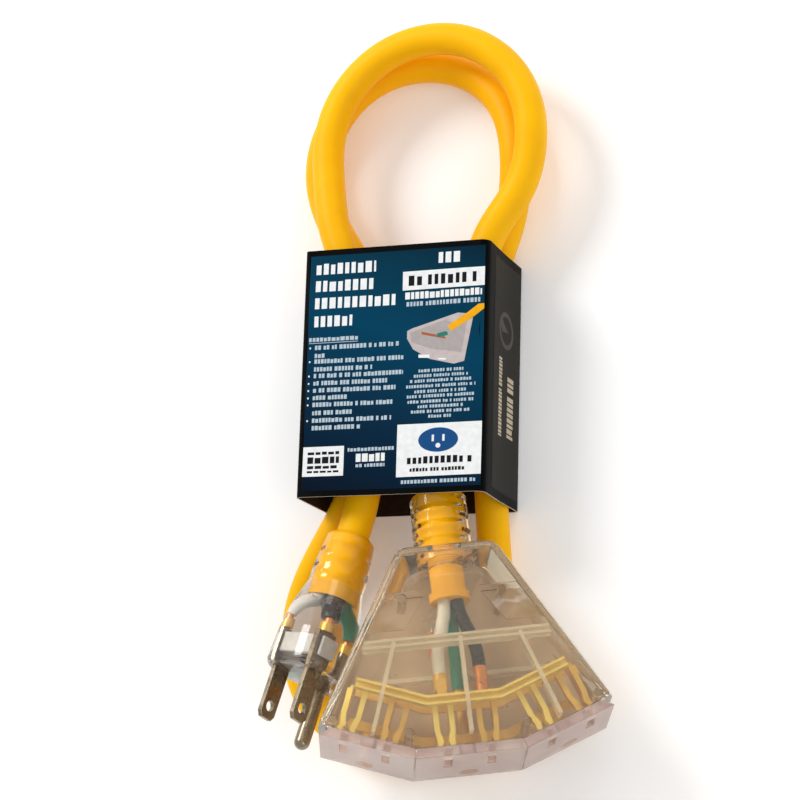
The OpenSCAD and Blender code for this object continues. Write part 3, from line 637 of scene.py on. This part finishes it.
for z in zs:
    hh, e = lerp_rows(keys, z)
    base = square_ring(hh, e)

    def fn(a, base=base, z=z):
        x, y = base(a)
        r = math.hypot(x, y)
        d = slit_depth(z, a, plug_slits)
        r2 = r - d * min(1.1, max(0.0, r - 6.0))
        return x * r2 / r, y * r2 / r
    rows.append((z, fn))
plug_skin = tube_skin("plug_moulding", MOULD, rows, PLUG, 144)
plug_skin.data.materials.append(BODY)
inv = PLUG.inverted()
for poly in plug_skin.data.polygons:
    if (inv @ (poly.center / MM)).z > relief_z + 1.0:
        poly.material_index = 1
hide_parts("plug_body", "plug_strain_relief")
collar_rows = [(z, (lambda a, r=r: (r * math.cos(a), -6.9 + r * math.sin(a)))) for z, r in ((-0.4, 3.5), (1.6, 3.5), (1.9, 3.3), (2.0, 3.0))]
collar = []
vs, fs = [], []
for z, fnr in collar_rows:
    for k in range(48):
        x, y = fnr(2 * math.pi * k / 48)
        vs.append(PLUG @ Vector((x, y, z)) * MM)
for j in range(3):
    for k in range(48):
        a, b = j * 48 + k, j * 48 + (k + 1) % 48
        fs.append((a, b, b + 48, a + 48))
fs.append(tuple(reversed(range(48))))
fs.append(tuple(range(144, 192)))
collar = add_mesh("plug_pin_collar", vs, fs, [BODY], "cord_set")

# connector: solid clear relief round the cord
RELIEF = CONN @ Matrix.Rotation(math.radians(-90), 4, "X")
ckeys = [(0.0, (8.9,)), (0.3, (9.0,)), (17.6, (8.6,)), (18.5, (8.1,)), (19.0, (7.4,))]
conn_slits = []
for i, z0 in enumerate((2.2, 4.8, 7.4, 10, 12.6, 15.4)):
    for s in (0, math.pi):
        conn_slits.append((z0, z0 + 1.4, math.radians(90 * (i % 2) + 86 + (-14 if s else 0)) + s, 1.15 if i % 2 == 0 else 0.7))
rows = []
for k in range(151):
    z = 0.05 + 18.95 * k / 150
    (r0,) = lerp_rows(ckeys, z)

    def fn(a, r0=r0, z=z):
        d = slit_depth(z, a, conn_slits)
        r = r0 - d * min(1.9, r0 - 5.9)
        return r * math.cos(a), r * math.sin(a)
    rows.append((z, fn))
relief = tube_skin("connector_relief", MOULD, rows, RELIEF, 144)
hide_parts("connector_strain_relief")

# ------------------------------------------------------------------ carried-over nodes
for n, mt, bev in (
        ("connector_front_shell", SHELL, 0.0), ("connector_rear_shell", SHELL_REAR, 0.0),
        ("outlet_face_left", PLATE, 0.3), ("outlet_face_center", PLATE, 0.3), ("outlet_face_right", PLATE, 0.3),
        ("connector_carrier_front", INNER, 0.15), ("connector_carrier_rear", INNER, 0.15), ("connector_assembly_pins", PINS, 0.15),
        ("neutral_bus_bar", BRASS, 0.12), ("live_bus_bar", BRASS_DULL, 0.12), ("ground_bus_bar", BRASS_DULL, 0.1),
        ("plug_blade_bridge", INSERT, 0.4), ("plug_live_blade", NICKEL_DARK_REFLECTION, 0.18), ("plug_neutral_blade", NICKEL_DARK_REFLECTION, 0.18), ("plug_ground_pin", NICKEL_DARK_REFLECTION, 0.1),
        ("connector_live_wire", W_BLACK, 0), ("connector_neutral_wire", W_WHITE, 0), ("connector_ground_wire", W_GREEN, 0),
        ("plug_live_wire", W_BLACK, 0), ("plug_neutral_wire", W_WHITE, 0), ("plug_ground_wire", W_GREEN, 0)):
    refined(n, mt, bevel=bev, angle=30 if bev else 42, fat=0.7 if n == "plug_live_wire" else 0.35 if n.startswith("plug_") and n.endswith("_wire") else 0.12 if n.endswith("_wire") else 0.0)
for n, mt in (("connector_cord_end", JACKET), ("plug_cord_end", JACKET),
              ("connector_live_crimp", COPPER), ("connector_neutral_crimp", BRASS_DULL), ("connector_ground_crimp", BRASS_DULL),
              ("plug_live_crimp", BRASS_DULL), ("plug_neutral_crimp", BRASS_DULL), ("plug_ground_crimp", BRASS_DULL), ("plug_bare_copper", COPPER),
              ("indicator_lamp", LAMP), ("lamp_resistor", RESISTOR), ("lamp_leads", TINNED)):
    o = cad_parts[n]
    o.data.materials.clear()
    o.data.materials.append(mt)
    for s in o.material_slots:
        s.material = mt

# ------------------------------------------------------------------ floor and light
fl = bpy.data.meshes.new("floor")
s = 3.0
fl.from_pydata([(-s, -s, -0.0004), (s, -s, -0.0004), (s, s, -0.0004), (-s, s, -0.0004)], [], [(0, 1, 2, 3)])
fmat, nt, p = new_mat("floor_white")
nt.links.new(ramp(nt, noise(nt, 6, 2), [(0.3, (0.955, 0.955, 0.955)), (0.7, (0.97, 0.97, 0.97))]), p.inputs["Base Color"])
p.inputs["Emission Color"].default_value = (1, 1, 1, 1)
p.inputs["Emission Strength"].default_value = 0.1
p.inputs["Roughness"].default_value = 0.9
p.inputs["Specular IOR Level"].default_value = 0.1
fl.materials.append(fmat)
floor = bpy.data.objects.new("floor", fl)
col.objects.link(floor)

world = bpy.data.worlds.new("studio")
scene.world = world
world.use_nodes = True
bg = world.node_tree.nodes["Background"]
bg.inputs["Color"].default_value = (1, 1, 1, 1)
bg.inputs["Strength"].default_value = 0.62


def area(name, loc, target, size, power, colour=(1, 1, 1)):
    d = bpy.data.lights.new(name, "AREA")
    d.shape, d.size, d.energy, d.color = "DISK", size, power, colour
    o = bpy.data.objects.new(name, d)
    col.objects.link(o)
    o.location = loc
    o.rotation_mode = "QUATERNION"
    o.rotation_quaternion = (Vector(target) - Vector(loc)).to_track_quat("-Z", "Y")
    return o


area("key", (-0.85, 0.75, 0.95), (0, 0, 0), 0.6, 12)
area("fill", (0.9, -0.45, 0.85), (0, -0.03, 0), 0.9, 3)
area("rim", (0.3, 0.9, 0.5), (0, 0, 0), 0.4, 1.2)
